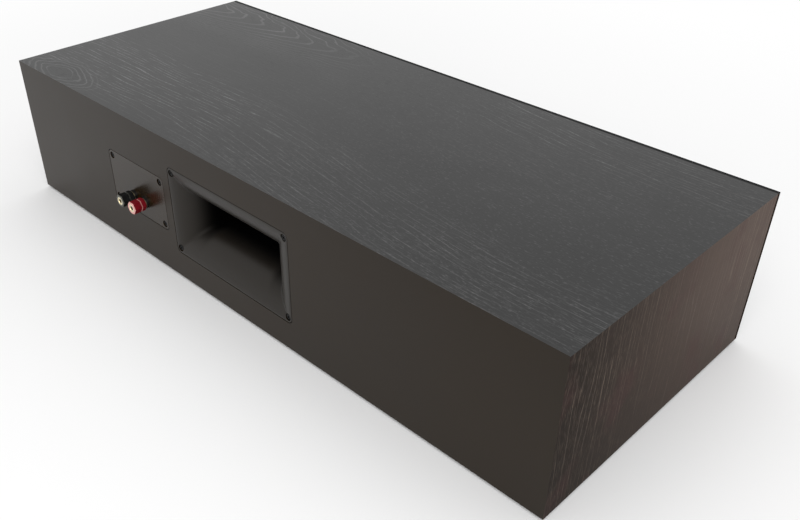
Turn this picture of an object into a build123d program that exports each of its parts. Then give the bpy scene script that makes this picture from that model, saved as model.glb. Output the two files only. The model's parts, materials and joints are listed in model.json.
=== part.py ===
from build123d import *
from math import cos, radians, sin, sqrt, tan
import os

os.makedirs("parts", exist_ok=True)

# Center channel loudspeaker: folded cabinet, flared rear port, one pair of binding posts, five drivers.
# Millimetres, +Z up, the front baffle faces -Y and the rear panel +Y.
# The origin lies under the middle of the whole object, on the plane the feet stand on.

# Cabinet boards
cabinet_width = 660.0
cabinet_depth = 276.0
cabinet_height = 140.0
board = 15.0
mitre = 45.0
baffle_lip = 2.0
baffle_plug = 16.0
lip_round = 1.0
brace_thickness = 12.0
brace_rail = 14.0
window_corner = 10.0
foot_radius = 9.0
foot_height = 3.0
foot_bevel = 0.8
foot_inset = 36.0

# Fits
seat_gap = 0.25
panel_gap = 0.5
frame_clearance = 1.0
thread_gap = 0.1
slide_gap = 0.05
bond_gap = 0.1

# Flared port in the rear panel
port_width = 157.5
port_height = 85.5
port_corner = 5.0
port_flange = 4.0
port_rim = 1.6
port_flare = 31.0
port_flare_start = 6.0
port_wall = 2.5
port_length = 105.0
port_tail = 10.0
port_crease = 4.0
port_screw_inset_x = 4.7
port_screw_inset_z = 5.0

# Terminal plate in the rear panel
plate_width = 87.0
plate_height = 53.0
plate_thickness = 3.0
plate_corner = 5.0
plate_ledge = 9.5
panel_edge_round = 0.4
plate_offset_x = 133.0
plate_screw_inset_x = 5.5
plate_screw_inset_z = 5.2

# Binding posts
post_spacing = 19.0
post_drop = 10.3
collar_radius = 5.6
collar_height = 2.0
neck_radius = 3.6
stud_radius = 3.0
stud_flange_radius = 4.8
stud_flange = 0.8
stud_recess = 0.3
tail_radius = 2.5
tail_length = 11.0
socket_radius = 2.0
socket_depth = 12.6
wire_hole_radius = 1.2
insert_wall = 0.8
insert_flange = 1.0
insert_flange_step = 0.7
cap_gap = 0.2
cap_length = 12.5
hex_sides = 6
cap_flats = 10.8
cap_bevel = 0.7
groove_from_tip = 8.0
groove_width = 0.6
groove_depth = 0.35
nut_flats = 8.0
nut_height = 3.2
nut_flange_radius = 5.6
nut_flange = 1.0

# Panel screws with a round head in a recess
panel_head_radius = 2.6
panel_head_height = 1.4
panel_head_round = 0.6
panel_shank_radius = 1.4
panel_screw_reach = 11.0
screw_tip = 2.8
recess_radius = 3.3
recess_depth = 2.0

# Driver screws with a flat countersunk head
driver_head_radius = 2.6
driver_shank_radius = 1.4
driver_screw_reach = 15.0
countersink = 90.0
cross_width = 0.8
cross_span = 2.8
cross_depth = 1.0
cross_turn = 45.0

# Woofers, depths measured inward from the baffle face, space at each end of the row counted in driver gaps
frame_flange = 5.5
frame_land = 7.0
frame_screws = 4
frame_screw_turn = 45.0
end_gaps = 7.0
basket_wall = 2.0
ledge_depth = 4.4
ledge_land = 6.5
ledge_width = 5.0
spider_seat = 24.0
spider_step = 27.5
spider_outer = 32.5
motor_face = 36.0
basket_eye = 15.0
basket_legs = 6
window_width = 24.0
tab_width = 9.0
tab_thickness = 3.0
tab_radius = 40.0
roll_inset = 14.3
roll_radius = 3.4
rubber = 0.8
lip_inset = 20.1
cone_wall = 0.8
cone_bow = 70.0
neck_depth = 19.0
dust_cap_radius = 15.5
dust_cap_rise = 5.5
former_outer = 13.1
former_wall = 0.4
former_end = 45.0
winding_wall = 0.6
winding_height = 12.0
coil_gap = 0.6
spider_wave = 1.1
spider_sheet = 0.6
spider_folds = 6
top_plate_radius = 29.0
top_plate = 4.0
magnet_radius = 34.0
magnet_hole = 18.5
magnet_height = 14.0
yoke_plate = 5.0
vent_radius = 3.5

# Tweeter, depths measured inward from the baffle face
guide_corner = 8.0
guide_flange = 4.0
guide_land = 8.0
guide_throat = 13.6
guide_depth = 24.0
guide_wall = 2.6
guide_root = 3.9
guide_plate_radius = 32.0
guide_plate = 3.0
guide_belly_radius = 26.0
guide_belly_depth = 8.0
guide_screw_inset = 7.0
dome_radius = 12.7
dome_rise = 4.5
dome_film = 0.5
dome_rim = 19.0
dome_coil = 0.5
dome_coil_length = 7.0
dome_gap = 0.6
tweeter_plate = 4.0
tweeter_plate_radius = 30.0
tweeter_magnet_radius = 31.0
tweeter_magnet_hole = 17.0
tweeter_magnet_height = 12.0
tweeter_yoke_plate = 5.0

# Crossover and leads
pcb_width = 88.0
pcb_depth = 84.0
pcb_thickness = 1.6
pcb_side_gap = 8.0
pcb_back_gap = 8.0
standoff_inset = 5.0
standoff_height = 6.0
standoff_radius = 3.2
standoff_pin = 1.8
standoff_pin_depth = 7.0
big_coil_radius = 16.0
big_coil_height = 24.0
small_coil_radius = 10.0
small_coil_height = 16.0
coil_core = 5.0
coil_cheek = 2.0
coil_cheek_step = 1.5
capacitor_length = 24.0
capacitor_width = 10.0
capacitor_height = 20.0
resistor_length = 22.0
resistor_width = 9.0
block_round = 1.0
part_spacing = 4.0
lead_radius = 1.4
lead_rise = 14.0
lead_pitch = 8.0
lead_edge = 5.0
lead_reach = 24.0
bend_share = 0.45
floor_gap = 0.3
notch_height = 7.0

# Places that follow from the sizes above
post_reach = collar_height + stud_flange + cap_gap + cap_length
front_y = -(cabinet_depth + post_reach) / 2
back_y = front_y + cabinet_depth
sleeve_front_y = front_y + baffle_lip
baffle_back_y = sleeve_front_y + baffle_plug
inner_back_y = back_y - board
top_z = foot_height + cabinet_height
mid_z = foot_height + cabinet_height / 2
floor_z = foot_height + board
inner_width = cabinet_width - 2 * board
inner_height = cabinet_height - 2 * board
sleeve_run = back_y - sleeve_front_y + board
sleeve_middle_y = back_y - sleeve_run / 2
frame_radius = inner_height / 2 - frame_clearance
basket_radius = frame_radius - frame_land
ledge_outer = frame_radius - ledge_land
ledge_inner = ledge_outer - ledge_width
roll_middle = frame_radius - roll_inset
lip_inner = frame_radius - lip_inset
guide_side = inner_height - 2 * frame_clearance
guide_mouth = guide_side / 2 - guide_land
woofer_pairs = 2
row_slack = inner_width - guide_side - 4 * woofer_pairs * frame_radius
driver_gap = row_slack / (2 * woofer_pairs + 2 * end_gaps)
inner_woofer_x = guide_side / 2 + driver_gap + frame_radius
outer_woofer_x = inner_woofer_x + 2 * frame_radius + driver_gap
woofer_x = [-outer_woofer_x, -inner_woofer_x, inner_woofer_x, outer_woofer_x]
brace_x = (inner_woofer_x + outer_woofer_x) / 2
baffle_total = baffle_lip + baffle_plug

front_face = Plane(origin=(0, front_y, mid_z), x_dir=(1, 0, 0), z_dir=(0, -1, 0))
back_face = Plane(origin=(0, back_y, mid_z), x_dir=(-1, 0, 0), z_dir=(0, 1, 0))
front_cut = Plane(origin=(0, sleeve_front_y, mid_z), x_dir=(1, 0, 0), z_dir=(0, 1, 0))


# One piece written under its own name
def save(part, name):
    part.label = name
    export_step(part, f"parts/{name}.step")


# One board of the folded sleeve: three mitred edges and a square front edge
def folded_board(outer_face, run, span):
    with BuildPart() as sleeve_board:
        with BuildSketch(outer_face):
            Rectangle(run, span)
        extrude(amount=board, taper=mitre)
        split(bisect_by=front_cut, keep=Keep.TOP)
    return sleeve_board.part


top_panel = folded_board(
    Plane(origin=(0, sleeve_middle_y, top_z), x_dir=(0, 1, 0), z_dir=(0, 0, -1)), sleeve_run, cabinet_width)
save(top_panel, "top_panel")

left_panel = folded_board(
    Plane(origin=(-cabinet_width / 2, sleeve_middle_y, mid_z), x_dir=(0, 1, 0), z_dir=(1, 0, 0)),
    sleeve_run, cabinet_height)
save(left_panel, "left_panel")

right_panel = folded_board(
    Plane(origin=(cabinet_width / 2, sleeve_middle_y, mid_z), x_dir=(0, 1, 0), z_dir=(-1, 0, 0)),
    sleeve_run, cabinet_height)
save(right_panel, "right_panel")

# Bottom board with blind holes for the crossover standoffs
pcb_x = brace_x - brace_thickness / 2 - pcb_side_gap - pcb_width / 2
pcb_back_y = inner_back_y - pcb_back_gap
pcb_front_y = pcb_back_y - pcb_depth
pcb_y = (pcb_back_y + pcb_front_y) / 2
pcb_top_z = floor_z + standoff_height + pcb_thickness
standoff_span_x = pcb_width - 2 * standoff_inset
standoff_span_y = pcb_depth - 2 * standoff_inset
with BuildPart() as bottom_panel:
    add(folded_board(
        Plane(origin=(0, sleeve_middle_y, foot_height), x_dir=(0, 1, 0), z_dir=(0, 0, 1)),
        sleeve_run, cabinet_width))
    with BuildSketch(Plane.XY.offset(floor_z)):
        with Locations((pcb_x, pcb_y)):
            with GridLocations(standoff_span_x, standoff_span_y, 2, 2):
                Circle(standoff_pin + thread_gap)
    extrude(amount=-(standoff_pin_depth + thread_gap), mode=Mode.SUBTRACT)
save(bottom_panel.part, "bottom_panel")

# Feet
with BuildPart() as feet:
    with BuildSketch(Plane.XY.offset(foot_height)):
        with Locations((0, (sleeve_front_y + back_y) / 2)):
            with GridLocations(
                    cabinet_width - 2 * foot_inset, back_y - sleeve_front_y - 2 * foot_inset, 2, 2):
                Circle(foot_radius)
    extrude(amount=-foot_height)
    chamfer(feet.faces().group_by(Axis.Z)[0].edges(), length=foot_bevel)
save(feet.part, "feet")

# Rear panel with recesses for the port and the terminal plate
port_mouth_x = port_width / 2 - port_rim
port_mouth_z = port_height / 2 - port_rim
flare_lead = port_flare * sin(radians(port_flare_start))
flare_depth = port_flare * cos(radians(port_flare_start))
flare_skin = port_flare - port_wall
flange_step = sqrt(flare_skin ** 2 - (flare_depth - port_flange) ** 2) - flare_lead
port_cut_x = 2 * (port_mouth_x - flange_step + seat_gap)
port_cut_z = 2 * (port_mouth_z - flange_step + seat_gap)
port_screw_x = port_width - 2 * port_screw_inset_x
port_screw_z = port_height - 2 * port_screw_inset_z
plate_screw_x = plate_width - 2 * plate_screw_inset_x
plate_screw_z = plate_height - 2 * plate_screw_inset_z
plate_place = (-plate_offset_x, 0)
with BuildPart() as back_panel:
    with BuildSketch(Plane(origin=back_face.origin, x_dir=(1, 0, 0), z_dir=(0, -1, 0))):
        Rectangle(cabinet_width, cabinet_height)
    extrude(amount=board, taper=mitre)
    with BuildSketch(back_face):
        RectangleRounded(port_width + 2 * panel_gap, port_height + 2 * panel_gap, port_corner + panel_gap)
    extrude(amount=-port_flange, mode=Mode.SUBTRACT)
    with BuildSketch(back_face):
        with Locations(plate_place):
            RectangleRounded(
                plate_width + 2 * panel_gap, plate_height + 2 * panel_gap, plate_corner + panel_gap)
    extrude(amount=-plate_thickness, mode=Mode.SUBTRACT)
    with BuildSketch(back_face):
        Rectangle(port_cut_x, port_cut_z)
        with Locations(plate_place):
            Rectangle(plate_width - 2 * plate_ledge, plate_height - 2 * plate_ledge)
    extrude(amount=-board, mode=Mode.SUBTRACT)
    with BuildSketch(back_face):
        with GridLocations(port_screw_x, port_screw_z, 2, 2):
            Circle(panel_shank_radius + thread_gap)
        with Locations(plate_place):
            with GridLocations(plate_screw_x, plate_screw_z, 2, 2):
                Circle(panel_shank_radius + thread_gap)
    extrude(amount=-(panel_screw_reach + recess_depth + thread_gap), mode=Mode.SUBTRACT)
save(back_panel.part, "back_panel")

# Front baffle: a thin lip over the sleeve's front edges and a plug inside the sleeve
guide_body = guide_mouth + guide_wall
guide_screw_span = guide_side - 2 * guide_screw_inset
frame_screw_circle = (ledge_outer + frame_radius) / 2
woofer_spots = [(x, 0) for x in woofer_x]
with BuildPart() as front_baffle:
    with BuildSketch(front_face):
        Rectangle(cabinet_width, cabinet_height)
    extrude(amount=-baffle_lip)
    fillet(front_baffle.faces().sort_by(Axis.Y)[0].edges(), radius=lip_round)
    with BuildSketch(front_face.offset(-baffle_lip)):
        Rectangle(inner_width - 2 * seat_gap, inner_height - 2 * seat_gap)
    extrude(amount=-baffle_plug)
    with BuildSketch(front_face):
        with Locations(*woofer_spots):
            Circle(frame_radius + seat_gap)
    extrude(amount=-frame_flange, mode=Mode.SUBTRACT)
    with BuildSketch(front_face):
        RectangleRounded(guide_side + 2 * seat_gap, guide_side + 2 * seat_gap, guide_corner + seat_gap)
    extrude(amount=-guide_flange, mode=Mode.SUBTRACT)
    with BuildSketch(front_face):
        Circle(guide_body + seat_gap)
        with Locations(*woofer_spots):
            Circle(basket_radius + seat_gap)
    extrude(amount=-baffle_total, mode=Mode.SUBTRACT)
    with BuildSketch(front_face):
        with Locations(*woofer_spots):
            with PolarLocations(frame_screw_circle, frame_screws, start_angle=frame_screw_turn):
                Circle(driver_shank_radius + thread_gap)
        with GridLocations(guide_screw_span, guide_screw_span, 2, 2):
            Circle(driver_shank_radius + thread_gap)
    extrude(amount=-(driver_screw_reach + thread_gap), mode=Mode.SUBTRACT)
save(front_baffle.part, "front_baffle")

# Runs of the driver leads on the cabinet floor
lead_z = floor_z + floor_gap + lead_radius
solder_y = pcb_front_y + lead_edge
arch_z = pcb_top_z + lead_rise
arch_y = pcb_front_y - 2 * lead_edge
land_y = arch_y - (arch_z - lead_z)
first_run_y = land_y - 2 * lead_pitch
lead_runs = [first_run_y - i * lead_pitch for i in range(len(woofer_x) + 1)]
notch_y = (lead_runs[0] + lead_runs[-1]) / 2
notch_run = lead_runs[0] - lead_runs[-1] + lead_pitch

# Window braces between the inner and the outer woofers, notched over the leads
brace_run = inner_back_y - baffle_back_y
brace_y = (inner_back_y + baffle_back_y) / 2
brace_window = (brace_run - 3 * brace_rail) / 2
for brace_name, brace_place in (("left_brace", -brace_x), ("right_brace", brace_x)):
    brace_plane = Plane(origin=(brace_place, brace_y, mid_z), x_dir=(0, 1, 0), z_dir=(1, 0, 0))
    with BuildPart() as brace:
        with BuildSketch(brace_plane):
            Rectangle(brace_run, inner_height)
            with GridLocations(brace_window + brace_rail, 1, 2, 1):
                RectangleRounded(
                    brace_window, inner_height - 2 * brace_rail, window_corner, mode=Mode.SUBTRACT)
            with Locations((notch_y - brace_y, -inner_height / 2)):
                Rectangle(notch_run, 2 * notch_height, mode=Mode.SUBTRACT)
        extrude(amount=brace_thickness / 2, both=True)
    save(brace.part, brace_name)


# Outline of a slot that flares at the mouth and at the tail, measured into the cabinet
def flared_slot(half_mouth, skin):
    throat = half_mouth + flare_lead - port_flare
    tail_start = port_length - port_tail
    with BuildSketch() as slot:
        with BuildLine():
            mouth_arc = CenterArc(
                (half_mouth + flare_lead, flare_depth), port_flare - skin,
                -90 - port_flare_start, -90 + port_flare_start)
            Line((0, (mouth_arc @ 0).Y), mouth_arc @ 0)
            Line(mouth_arc @ 1, (throat + skin, tail_start))
            tail_arc = CenterArc((throat + port_tail, tail_start), port_tail - skin, 180, -90)
            tail_edge = Line(tail_arc @ 1, (throat + port_tail, port_length + port_wall))
            Line(tail_edge @ 1, (0, port_length + port_wall))
            mirror(about=Plane.YZ)
        make_face()
    return slot.sketch


# A body that is flared across its width and across its height at once
def flared_body(skin):
    lying = Plane(origin=back_face.origin, x_dir=(1, 0, 0), z_dir=(0, 0, -1))
    standing = Plane(origin=back_face.origin, x_dir=(0, 0, 1), z_dir=(1, 0, 0))
    with BuildPart() as flared:
        with BuildSketch(lying):
            add(flared_slot(port_mouth_x, skin))
        extrude(amount=port_height, both=True)
        with BuildSketch(standing):
            add(flared_slot(port_mouth_z, skin))
        extrude(amount=port_width, both=True, mode=Mode.INTERSECT)
        duct_edges = flared.edges().filter_by(Axis.Y).group_by(SortBy.LENGTH)[-1]
        fillet(duct_edges, radius=port_crease + skin)
    return flared.part


# Port moulding: flange, flare, duct and tail in one piece
tail_stop = Plane(origin=(0, back_y - port_length, mid_z), x_dir=(1, 0, 0), z_dir=(0, 1, 0))
with BuildPart() as port_moulding:
    add(flared_body(port_wall))
    split(bisect_by=tail_stop, keep=Keep.TOP)
    with BuildSketch(back_face):
        RectangleRounded(port_width, port_height, port_corner)
    extrude(amount=-port_flange)
    fillet(port_moulding.faces().sort_by(Axis.Y)[-1].outer_wire().edges(), radius=panel_edge_round)
    add(flared_body(0.0), mode=Mode.SUBTRACT)
    with BuildSketch(back_face):
        with GridLocations(port_screw_x, port_screw_z, 2, 2):
            Circle(recess_radius)
    extrude(amount=-recess_depth, mode=Mode.SUBTRACT)
    with BuildSketch(back_face):
        with GridLocations(port_screw_x, port_screw_z, 2, 2):
            Circle(panel_shank_radius + seat_gap)
    extrude(amount=-port_flange, mode=Mode.SUBTRACT)
save(port_moulding.part, "port_moulding")

# Round-headed panel screw, its head standing on z = 0
with BuildPart() as panel_screw:
    with BuildSketch(Plane.XZ):
        with BuildLine():
            Polyline(
                (0, panel_head_height), (panel_head_radius, panel_head_height), (panel_head_radius, 0),
                (panel_shank_radius, 0), (panel_shank_radius, -panel_screw_reach + screw_tip),
                (0, -panel_screw_reach), (0, panel_head_height))
        make_face()
    revolve(axis=Axis.Z)
    fillet(panel_screw.faces().sort_by(Axis.Z)[-1].edges(), radius=panel_head_round)
    with BuildSketch(Plane.XY.offset(panel_head_height)):
        Rectangle(cross_span, cross_width, rotation=cross_turn)
        Rectangle(cross_span, cross_width, rotation=-cross_turn)
    extrude(amount=-cross_depth, mode=Mode.SUBTRACT)

with BuildPart() as port_screws:
    with Locations(back_face.offset(-recess_depth)):
        with GridLocations(port_screw_x, port_screw_z, 2, 2):
            add(panel_screw.part)
save(port_screws.part, "port_screws")

with BuildPart() as terminal_screws:
    with Locations(back_face.offset(-recess_depth)):
        with Locations(plate_place):
            with GridLocations(plate_screw_x, plate_screw_z, 2, 2):
                add(panel_screw.part)
save(terminal_screws.part, "terminal_screws")

# Terminal plate
post_places = [
    (-plate_offset_x - post_spacing / 2, -post_drop), (-plate_offset_x + post_spacing / 2, -post_drop)]
with BuildPart() as terminal_plate:
    with BuildSketch(back_face):
        with Locations(plate_place):
            RectangleRounded(plate_width, plate_height, plate_corner)
        with Locations(*post_places):
            Circle(neck_radius + slide_gap, mode=Mode.SUBTRACT)
    extrude(amount=-plate_thickness)
    fillet(terminal_plate.faces().sort_by(Axis.Y)[-1].outer_wire().edges(), radius=panel_edge_round)
    with BuildSketch(back_face):
        with Locations(plate_place):
            with GridLocations(plate_screw_x, plate_screw_z, 2, 2):
                Circle(recess_radius)
    extrude(amount=-recess_depth, mode=Mode.SUBTRACT)
    with BuildSketch(back_face):
        with Locations(plate_place):
            with GridLocations(plate_screw_x, plate_screw_z, 2, 2):
                Circle(panel_shank_radius + seat_gap)
    extrude(amount=-plate_thickness, mode=Mode.SUBTRACT)
save(terminal_plate.part, "terminal_plate")

# Binding post pieces round z, with z = 0 on the plate's outer face
flange_top = collar_height + stud_flange
cap_start = flange_top + cap_gap
cap_end = cap_start + cap_length
stud_end = cap_end - stud_recess
tail_end = -plate_thickness - tail_length
insert_bore = stud_radius + slide_gap
insert_radius = insert_bore + insert_wall
insert_foot = insert_radius + insert_flange_step

with BuildPart() as post_collar:
    with BuildSketch(Plane.XZ):
        with BuildLine():
            bore_wall = tail_radius + thread_gap
            Polyline(
                (bore_wall, collar_height), (collar_radius, collar_height), (collar_radius, 0),
                (neck_radius, 0), (neck_radius, -plate_thickness), (bore_wall, -plate_thickness),
                (bore_wall, collar_height))
        make_face()
    revolve(axis=Axis.Z)

with BuildPart() as post_stud:
    with BuildSketch(Plane.XZ):
        with BuildLine():
            Polyline(
                (0, tail_end), (tail_radius, tail_end), (tail_radius, collar_height),
                (stud_flange_radius, collar_height), (stud_flange_radius, flange_top),
                (stud_radius, flange_top), (stud_radius, stud_end), (socket_radius, stud_end),
                (socket_radius, stud_end - socket_depth), (0, stud_end - socket_depth), (0, tail_end))
        make_face()
    revolve(axis=Axis.Z)
    with Locations(Location((0, 0, cap_start + insert_flange + wire_hole_radius), (90, 0, 0))):
        Cylinder(wire_hole_radius, 2 * stud_flange_radius, mode=Mode.SUBTRACT)

with BuildPart() as post_insert:
    with BuildSketch(Plane.XZ):
        with BuildLine():
            Polyline(
                (insert_bore, cap_start), (insert_foot, cap_start), (insert_foot, cap_start + insert_flange),
                (insert_radius, cap_start + insert_flange), (insert_radius, cap_end),
                (insert_bore, cap_end), (insert_bore, cap_start))
        make_face()
    revolve(axis=Axis.Z)

# The hex cap is turned down at both ends and at the groove
cap_corner = cap_flats / 2 / cos(radians(180 / hex_sides))
groove_middle = cap_end - groove_from_tip
with BuildPart() as post_cap:
    with BuildSketch(Plane.XY.offset(cap_start)):
        RegularPolygon(cap_flats / 2, hex_sides, major_radius=False)
    extrude(amount=cap_length)
    with BuildSketch(Plane.XZ):
        with BuildLine():
            Polyline(
                (0, cap_start), (cap_corner - cap_bevel, cap_start), (cap_corner, cap_start + cap_bevel),
                (cap_corner, groove_middle - groove_width), (cap_flats / 2 - groove_depth, groove_middle),
                (cap_corner, groove_middle + groove_width), (cap_corner, cap_end - cap_bevel),
                (cap_corner - cap_bevel, cap_end), (0, cap_end), (0, cap_start))
        make_face()
    revolve(axis=Axis.Z, mode=Mode.INTERSECT)
    with BuildSketch(Plane.XY.offset(cap_start)):
        Circle(insert_radius + slide_gap)
    extrude(amount=cap_length, mode=Mode.SUBTRACT)
    with BuildSketch(Plane.XY.offset(cap_start)):
        Circle(insert_foot + slide_gap)
    extrude(amount=insert_flange + slide_gap, mode=Mode.SUBTRACT)

for colour, (post_x, post_y) in zip(("black", "red"), post_places):
    post_plane = Plane(
        origin=back_face.from_local_coords((post_x, post_y, 0)), x_dir=(-1, 0, 0), z_dir=(0, 1, 0))
    for post_piece, piece_name in (
            (post_collar, "collar"), (post_stud, "stud"), (post_insert, "insert"), (post_cap, "cap")):
        save(post_piece.part.moved(post_plane.location), f"{colour}_post_{piece_name}")

# Flange nuts behind the plate
with BuildPart() as post_nuts:
    with BuildSketch(back_face.offset(-plate_thickness)):
        with Locations(*post_places):
            Circle(nut_flange_radius)
    extrude(amount=-nut_flange)
    with BuildSketch(back_face.offset(-plate_thickness)):
        with Locations(*post_places):
            RegularPolygon(nut_flats / 2, hex_sides, major_radius=False)
    extrude(amount=-(nut_flange + nut_height))
    with BuildSketch(back_face.offset(-plate_thickness)):
        with Locations(*post_places):
            Circle(tail_radius + thread_gap)
    extrude(amount=-(nut_flange + nut_height), mode=Mode.SUBTRACT)
save(post_nuts.part, "post_nuts")

# Countersunk driver screw, its head flush with z = 0
with BuildPart() as driver_screw:
    with BuildSketch(Plane.XZ):
        with BuildLine():
            head_depth = (driver_head_radius - driver_shank_radius) / tan(radians(countersink / 2))
            Polyline(
                (0, 0), (driver_head_radius, 0), (driver_shank_radius, -head_depth),
                (driver_shank_radius, -driver_screw_reach + screw_tip),
                (0, -driver_screw_reach), (0, 0))
        make_face()
    revolve(axis=Axis.Z)
    with BuildSketch(Plane.XY):
        Rectangle(cross_span, cross_width, rotation=cross_turn)
        Rectangle(cross_span, cross_width, rotation=-cross_turn)
    extrude(amount=-cross_depth, mode=Mode.SUBTRACT)

# Woofer basket with windows and a terminal tab
window_top = frame_flange + 2 * basket_wall
window_bottom = spider_seat - basket_wall / 2
with BuildPart() as basket:
    with BuildSketch(Plane.XZ):
        with BuildLine():
            Polyline(
                (frame_radius, 0), (frame_radius, -frame_flange), (basket_radius, -frame_flange),
                (basket_radius, -frame_flange - basket_wall),
                (spider_outer + basket_wall, -spider_seat - basket_wall),
                (spider_step + basket_wall, -spider_seat - basket_wall),
                (spider_step + basket_wall, -motor_face), (basket_eye, -motor_face),
                (basket_eye, -motor_face + basket_wall), (spider_step, -motor_face + basket_wall),
                (spider_step, -spider_seat), (spider_outer, -spider_seat),
                (ledge_inner, -frame_flange - 2 * basket_wall), (ledge_inner, -ledge_depth),
                (ledge_outer, -ledge_depth), (ledge_outer, 0), (frame_radius, 0))
        make_face()
    revolve(axis=Axis.Z)
    with BuildSketch(Plane.XY.offset(-window_bottom)):
        with PolarLocations(basket_radius, basket_legs):
            Rectangle(2 * (basket_radius - spider_step), window_width)
    extrude(amount=window_bottom - window_top, mode=Mode.SUBTRACT)
    with BuildSketch(Plane.XY.offset(-motor_face + basket_wall)):
        with Locations((0, -(tab_radius + spider_step) / 2)):
            Rectangle(tab_width, tab_radius - spider_step)
    extrude(amount=tab_thickness)
    with PolarLocations(frame_screw_circle, frame_screws, start_angle=frame_screw_turn):
        CounterSinkHole(
            driver_shank_radius + seat_gap, driver_head_radius + seat_gap, 2 * frame_flange, countersink)

# Rubber surround: a half roll between two flat lips
with BuildPart() as surround:
    with BuildSketch(Plane.XZ):
        with BuildLine():
            roll_inside = roll_radius - rubber
            lip_top = -ledge_depth + rubber
            lip_join = sqrt(roll_radius ** 2 - rubber ** 2)
            inner_lip = Polyline(
                (roll_middle - roll_inside, -ledge_depth), (lip_inner, -ledge_depth), (lip_inner, lip_top),
                (roll_middle - lip_join, lip_top))
            ThreePointArc(
                inner_lip @ 1, (roll_middle, roll_radius - ledge_depth), (roll_middle + lip_join, lip_top))
            outer_lip = Polyline(
                (roll_middle + lip_join, lip_top), (ledge_outer - seat_gap, lip_top),
                (ledge_outer - seat_gap, -ledge_depth), (roll_middle + roll_inside, -ledge_depth))
            ThreePointArc(
                outer_lip @ 1, (roll_middle, roll_inside - ledge_depth), inner_lip @ 0)
        make_face()
    revolve(axis=Axis.Z)

# Radius of the ball that a dome of this size is cut from
def ball(radius, rise):
    return (radius ** 2 + rise ** 2) / (2 * rise)


# Cone with its flat rim, bowed wall and glued dust cap
rim_top = -ledge_depth - bond_gap
cone_rim = roll_middle - roll_inside - bond_gap
cone_slope = (neck_depth + rim_top) / (lip_inner - former_outer)
cap_inner = dust_cap_radius - 2 * cone_wall
foot_z = -neck_depth + (dust_cap_radius - former_outer) * cone_slope
foot_inner_z = -neck_depth + (cap_inner - former_outer) * cone_slope
crown_z = foot_z + dust_cap_rise
with BuildPart() as cone:
    with BuildSketch(Plane.XZ):
        with BuildLine():
            wall_front = RadiusArc((lip_inner, rim_top), (dust_cap_radius, foot_z), -cone_bow)
            RadiusArc(wall_front @ 1, (0, crown_z), -ball(dust_cap_radius, dust_cap_rise))
            Line((0, crown_z), (0, crown_z - cone_wall))
            RadiusArc(
                (0, crown_z - cone_wall), (cap_inner, foot_inner_z),
                ball(cap_inner, crown_z - cone_wall - foot_inner_z))
            Polyline(
                (cap_inner, foot_inner_z), (former_outer, -neck_depth),
                (former_outer, -neck_depth - cone_wall), (dust_cap_radius, foot_z - cone_wall))
            RadiusArc((dust_cap_radius, foot_z - cone_wall), (lip_inner, rim_top - cone_wall), cone_bow)
            Polyline(
                (lip_inner, rim_top - cone_wall), (cone_rim, rim_top - cone_wall), (cone_rim, rim_top),
                (lip_inner, rim_top))
        make_face()
    revolve(axis=Axis.Z)

# Voice coil: former tube with its winding, centred on the top plate
former_top = -neck_depth + bond_gap
coil_middle = -motor_face - top_plate / 2
with BuildPart() as voice_coil:
    with BuildSketch(Plane.XY.offset(-former_end)):
        Circle(former_outer)
        Circle(former_outer - former_wall, mode=Mode.SUBTRACT)
    extrude(amount=former_end + former_top)
    with BuildSketch(Plane.XY.offset(coil_middle - winding_height / 2)):
        Circle(former_outer + winding_wall)
        Circle(former_outer - former_wall, mode=Mode.SUBTRACT)
    extrude(amount=winding_height)

# Spider: a corrugated ring from the former to its seat in the basket, each fold an arc over the last
spider_inner = former_outer + bond_gap
spider_bend = (spider_step - spider_inner) / spider_folds
spider_base = -spider_seat
with BuildPart() as spider:
    with BuildSketch(Plane.XZ):
        with BuildLine():
            for i in range(spider_folds):
                fold_inner = spider_inner + i * spider_bend
                fold_outer = fold_inner + spider_bend
                fold_rise = spider_wave if i % 2 == 0 else -spider_wave
                for sheet_z in (spider_base, spider_base + spider_sheet):
                    ThreePointArc(
                        (fold_inner, sheet_z), ((fold_inner + fold_outer) / 2, sheet_z + fold_rise),
                        (fold_outer, sheet_z))
            Polyline(
                (spider_step, spider_base), (spider_outer - bond_gap, spider_base),
                (spider_outer - bond_gap, spider_base + spider_sheet),
                (spider_step, spider_base + spider_sheet))
            Line((spider_inner, spider_base), (spider_inner, spider_base + spider_sheet))
        make_face()
    revolve(axis=Axis.Z)

for number, x in enumerate(woofer_x, 1):
    woofer_place = Location(Plane(origin=(x, front_y, mid_z), x_dir=(1, 0, 0), z_dir=(0, -1, 0)))
    for woofer_piece, piece_name in (
            (basket, "basket"), (surround, "surround"), (cone, "cone"),
            (voice_coil, "voice_coil"), (spider, "spider")):
        save(woofer_piece.part.moved(woofer_place), f"woofer_{number}_{piece_name}")

# Woofer motors: top plates, ring magnets and yokes with vented poles
gap_outer = former_outer + winding_wall + coil_gap
pole_radius = former_outer - former_wall - coil_gap
top_plate_face = front_face.offset(-motor_face)
magnet_face = top_plate_face.offset(-top_plate)
yoke_face = magnet_face.offset(-magnet_height)

with BuildPart() as woofer_top_plates:
    with BuildSketch(top_plate_face):
        with Locations(*woofer_spots):
            Circle(top_plate_radius)
            Circle(gap_outer, mode=Mode.SUBTRACT)
    extrude(amount=-top_plate)
save(woofer_top_plates.part, "woofer_top_plates")

with BuildPart() as woofer_magnets:
    with BuildSketch(magnet_face):
        with Locations(*woofer_spots):
            Circle(magnet_radius)
            Circle(magnet_hole, mode=Mode.SUBTRACT)
    extrude(amount=-magnet_height)
save(woofer_magnets.part, "woofer_magnets")

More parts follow.
